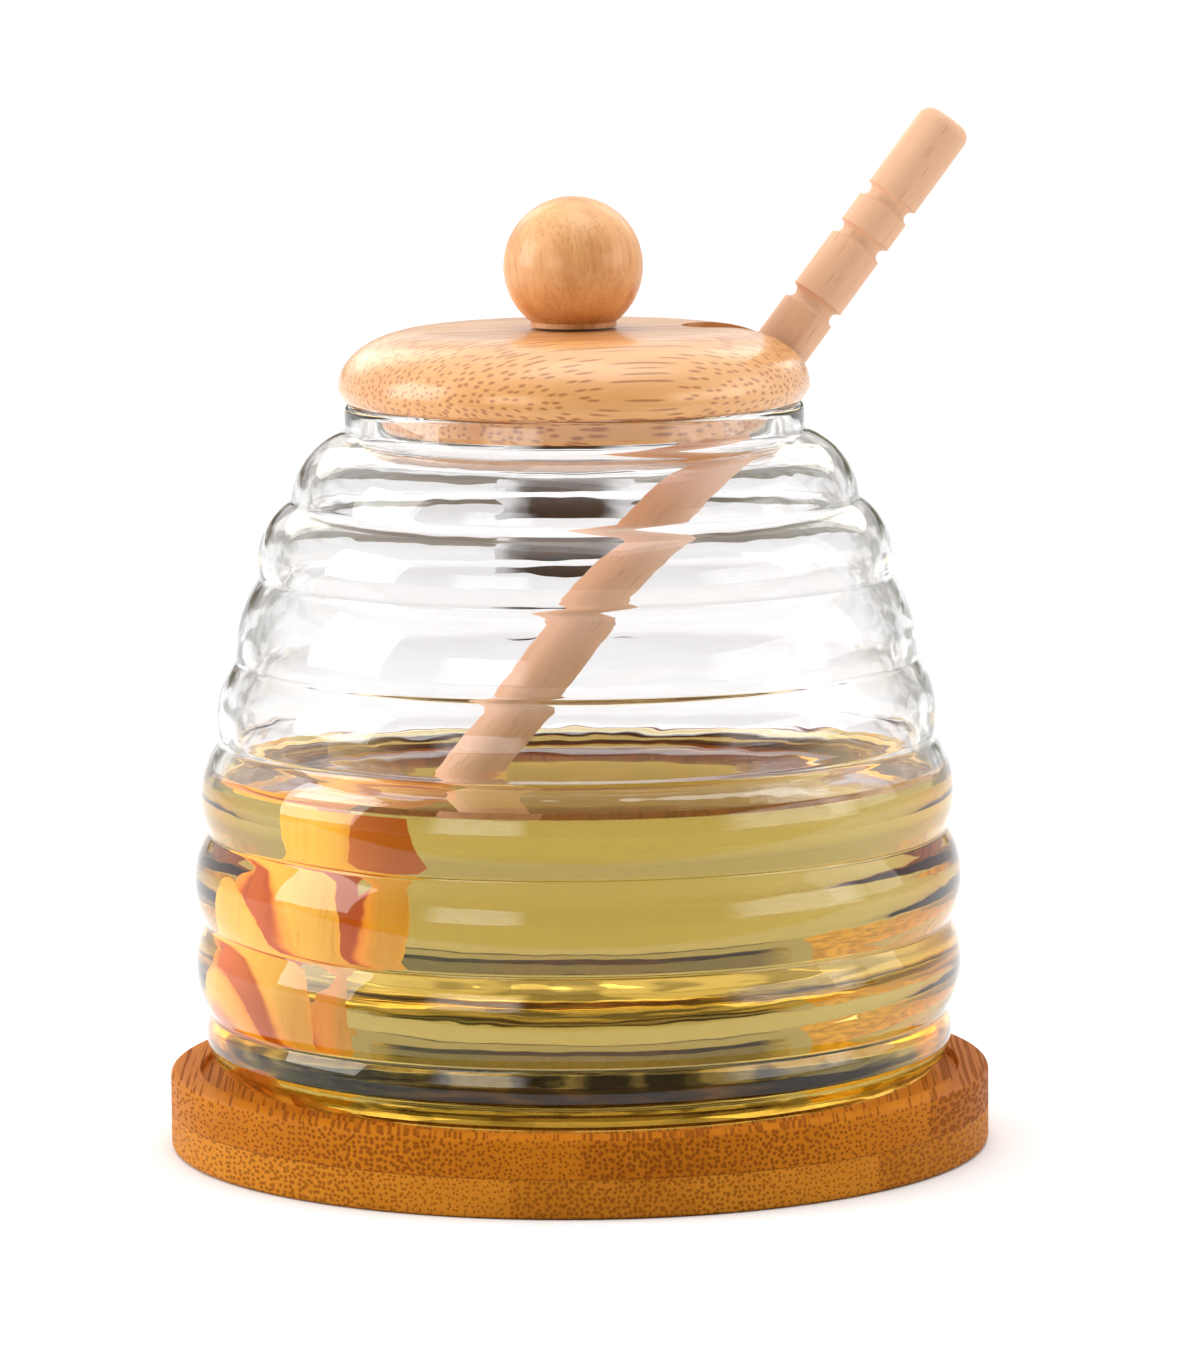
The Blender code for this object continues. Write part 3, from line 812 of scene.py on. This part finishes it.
# Light. A white studio, dim behind the camera, with a strong soft lamp on the left and weaker ones on the
# right and on top. Cards that only gloss and glass can see stand round it: dark ones behind for the bands in
# the glass and honey, golden ones for the honey's edges and top, windows, soft boxes and a mat in front.
WORLD_STRENGTH = 1.0
DIM_FRONT = 0.18
DIM_RIGHT = 0.8
EXTRA_ABOVE = 0.5
LAMP_AIM = Vector((0.0, 0.0, 0.06))
LAMPS = (
    ("left_light", 7.5, 0.7, Vector((-1.2, -0.1, 0.45))),
    ("right_light", 2.2, 0.7, Vector((1.2, 0.15, 0.5))),
    ("top_light", 3.0, 0.7, Vector((0.1, -0.05, 1.15))),
)
# Rays see a card when the number of surfaces that they have met lies between two of these numbers
ALWAYS = (-1, 99)
THROUGH_GLASS = (-1, 4.5)
OFF_HONEY_TOP = (4.5, 5.5)
THROUGH_HONEY = (5.5, 99)
# Each card's tones are colours at places along X, from its left end to its right end
DARK_ROOM = (
    (-1.2, (0.95, 0.8, 0.4)),
    (-0.95, (0.08, 0.05, 0.02)),
    (-0.62, (0.08, 0.05, 0.02)),
    (-0.3, (0.20, 0.11, 0.04)),
    (0.3, (0.20, 0.11, 0.04)),
    (0.60, (0.10, 0.11, 0.04)),
    (0.95, (0.10, 0.11, 0.04)),
    (1.2, (0.95, 0.8, 0.4)),
)
GOLDEN_SCREEN = (
    (-2.6, (1.2, 1.05, 0.7)),
    (-0.9, (1.2, 0.80, 0.25)),
    (-0.45, (0.9, 0.52, 0.12)),
    (-0.2, (0.20, 0.08, 0.015)),
    (0.18, (0.20, 0.08, 0.015)),
    (0.42, (0.9, 0.52, 0.12)),
    (0.9, (1.2, 0.80, 0.25)),
    (2.6, (1.2, 1.05, 0.7)),
)
DARK_LEDGE = (
    (-1.6, (0.9, 0.9, 0.85)),
    (-1.2, (0.22, 0.17, 0.12)),
    (1.2, (0.20, 0.19, 0.13)),
    (1.6, (0.9, 0.9, 0.85)),
)
DARK_DOORWAY = (
    (-0.030, (0.9, 0.9, 0.9)),
    (-0.016, (0.05, 0.03, 0.015)),
    (0.008, (0.05, 0.03, 0.015)),
    (0.022, (0.9, 0.9, 0.9)),
)
BROWN_SHELF = (
    (-0.055, (0.9, 0.6, 0.2)),
    (-0.03, (0.14, 0.06, 0.015)),
    (0.04, (0.14, 0.06, 0.015)),
    (0.065, (0.9, 0.6, 0.2)),
)
LEFT_SOFT_BOX = (
    (-1.6, (0.1, 0.1, 0.1)),
    (-1.3, (4.2, 4.2, 4.2)),
    (-0.75, (4.2, 4.2, 4.2)),
    (-0.5, (0.1, 0.1, 0.1)),
)
RIGHT_SOFT_BOX = (
    (1.4, (0.1, 0.1, 0.1)),
    (1.6, (3.6, 3.6, 3.6)),
    (2.0, (3.6, 3.6, 3.6)),
    (2.2, (0.1, 0.1, 0.1)),
)
GOLDEN_CURTAIN = ((0.0, (1.5, 0.95, 0.22)),)
WINDOW = ((0.0, (3.0, 2.9, 2.6)),)
DARK_MAT = ((0.0, (0.55, 0.43, 0.20)),)

world = bpy.data.worlds.new("studio")
bpy.context.scene.world = world
world.use_nodes = True
sky = world.node_tree
ways = node(sky, "ShaderNodeSeparateXYZ", {0: node(sky, "ShaderNodeTexCoord").outputs["Generated"]}).outputs
front = ramp(sky, ways["Y"], -0.1, -0.7, 1.0, DIM_FRONT)
right = ramp(sky, ways["X"], 0.2, 0.9, 1.0, DIM_RIGHT)
above = ramp(sky, ways["Z"], 0.3, 0.9, 0.0, EXTRA_ABOVE)
brightness = maths(sky, "ADD", maths(sky, "MULTIPLY", front, right), above)
sky.links.new(brightness, sky.nodes["Background"].inputs["Color"])
sky.nodes["Background"].inputs["Strength"].default_value = WORLD_STRENGTH

for name, power, size, lamp_place in LAMPS:
    lamp = bpy.data.lights.new(name, "AREA")
    lamp.energy = power
    lamp.size = size
    light = bpy.data.objects.new(name, lamp)
    bpy.context.scene.collection.objects.link(light)
    light.location = lamp_place
    light.rotation_euler = (LAMP_AIM - lamp_place).to_track_quat("-Z", "Y").to_euler()


def drawn_out(name, ends, height, way):
    """A flat card that starts as a line between two points at that height and is drawn out by way."""
    mesh = bmesh.new()
    edge = mesh.edges.new([mesh.verts.new((x, y, height)) for x, y in ends])
    grown = bmesh.ops.extrude_edge_only(mesh, edges=[edge])
    moved = [item for item in grown["geom"] if isinstance(item, bmesh.types.BMVert)]
    bmesh.ops.translate(mesh, verts=moved, vec=way)
    return made_of(mesh, name)


def seen_in_glass_only(card, tones, turns=ALWAYS, refracted=True):
    """Gives a card its tones, and shows it to reflections and refractions alone. It throws no shadow."""
    paper = bpy.data.materials.new(card.name)
    paper.use_nodes = True
    paper.cycles.emission_sampling = "NONE"
    tree = paper.node_tree
    place = own_place(tree)
    across = coordinate(tree, place, "X")
    cloud = node(tree, "ShaderNodeTexNoise", {"Vector": place, "Scale": 9.0, "Detail": 1.0}).outputs["Fac"]
    colour = (*tones[0][1], 1.0)
    for (before, _), (after, tone) in zip(tones, tones[1:]):
        colour = blended(tree, ramp(tree, across, before, after), colour, (*tone, 1.0))
    strength = ramp(tree, cloud, 0.3, 0.7, 0.75, 1.25)
    glow = node(tree, "ShaderNodeEmission", {"Color": colour, "Strength": strength})
    met = node(tree, "ShaderNodeLightPath").outputs["Ray Depth"]
    enough = maths(tree, "GREATER_THAN", met, turns[0])
    in_view = maths(tree, "MULTIPLY", enough, maths(tree, "LESS_THAN", met, turns[1]))
    absent = node(tree, "ShaderNodeBsdfTransparent")
    either = node(tree, "ShaderNodeMixShader", {0: in_view, 1: absent.outputs[0], 2: glow.outputs[0]})
    tree.links.new(either.outputs[0], tree.nodes["Material Output"].inputs["Surface"])
    card.data.materials.append(paper)
    card.visible_camera = False
    card.visible_diffuse = False
    card.visible_shadow = False
    card.visible_transmission = refracted


def standing(name, ends, low, high, tones, turns=ALWAYS, refracted=True):
    """An upright card between two points on the floor, from height low to high."""
    seen_in_glass_only(drawn_out(name, ends, low, (0.0, 0.0, high - low)), tones, turns, refracted)


standing("dark_room", ((-1.2, 3.0), (1.2, 3.0)), 0.03, 0.58, DARK_ROOM, THROUGH_HONEY)
standing("golden_screen", ((-2.6, 3.0), (2.6, 3.0)), 0.24, 0.95, GOLDEN_SCREEN, OFF_HONEY_TOP)
standing("dark_ledge", ((-1.6, 3.0), (1.6, 3.0)), 0.12, 0.42, DARK_LEDGE, THROUGH_GLASS)
standing("dark_doorway", ((-0.030, 0.9), (0.022, 0.9)), 0.012, 0.15, DARK_DOORWAY, THROUGH_GLASS)
standing("brown_shelf", ((-0.055, 0.28), (0.065, 0.28)), 0.085, 0.32, BROWN_SHELF, OFF_HONEY_TOP)
for side, name in ((-1, "left"), (1, "right")):
    curtain_ends = ((side * 1.25, 2.7), (side * 2.9, 0.6))
    window_ends = ((side * 0.75, 2.6), (side * 1.7, 2.2))
    standing("golden_curtain_" + name, curtain_ends, 0.0, 1.5, GOLDEN_CURTAIN, THROUGH_HONEY)
    standing("window_" + name, window_ends, 0.8, 2.6, WINDOW)
standing("soft_box_left", ((-0.4, -2.1), (-1.6, -1.4)), 0.12, 0.85, LEFT_SOFT_BOX, refracted=False)
standing("soft_box_right", ((1.4, -1.6), (2.2, 0.3)), 0.12, 0.85, RIGHT_SOFT_BOX, refracted=False)
mat = drawn_out("dark_mat", ((-1.6, -0.12), (1.6, -0.12)), 0.002, (0.0, -2.398, 0.0))
seen_in_glass_only(mat, DARK_MAT, refracted=False)

# Camera. It stands about a metre in front of the jar and a little above it, and looks slightly down on it
# through a long lens. It is turned a little about its own axis.
CAMERA_PLACE = Vector((0.0, -0.988, 0.194))
CAMERA_AIM = Vector((0.0021, 0.0, 0.0654))
CAMERA_LENS = 187.5
CAMERA_ROLL = math.radians(-0.45)
CAMERA_NEAR = 0.05
CAMERA_FAR = 50.0

camera_data = bpy.data.cameras.new("camera")
camera_data.lens = CAMERA_LENS
camera_data.clip_start = CAMERA_NEAR
camera_data.clip_end = CAMERA_FAR
camera = bpy.data.objects.new("camera", camera_data)
bpy.context.scene.collection.objects.link(camera)
aimed = (CAMERA_AIM - CAMERA_PLACE).to_track_quat("-Z", "Y").to_matrix().to_4x4()
camera.matrix_world = Matrix.Translation(CAMERA_PLACE) @ aimed @ Matrix.Rotation(CAMERA_ROLL, 4, "Z")
bpy.context.scene.camera = camera

bpy.context.scene.view_settings.view_transform = "Standard"
cycles = bpy.context.scene.cycles
cycles.max_bounces = 10
cycles.transmission_bounces = 10
cycles.glossy_bounces = 5
cycles.diffuse_bounces = 2
cycles.caustics_reflective = False
cycles.caustics_refractive = False
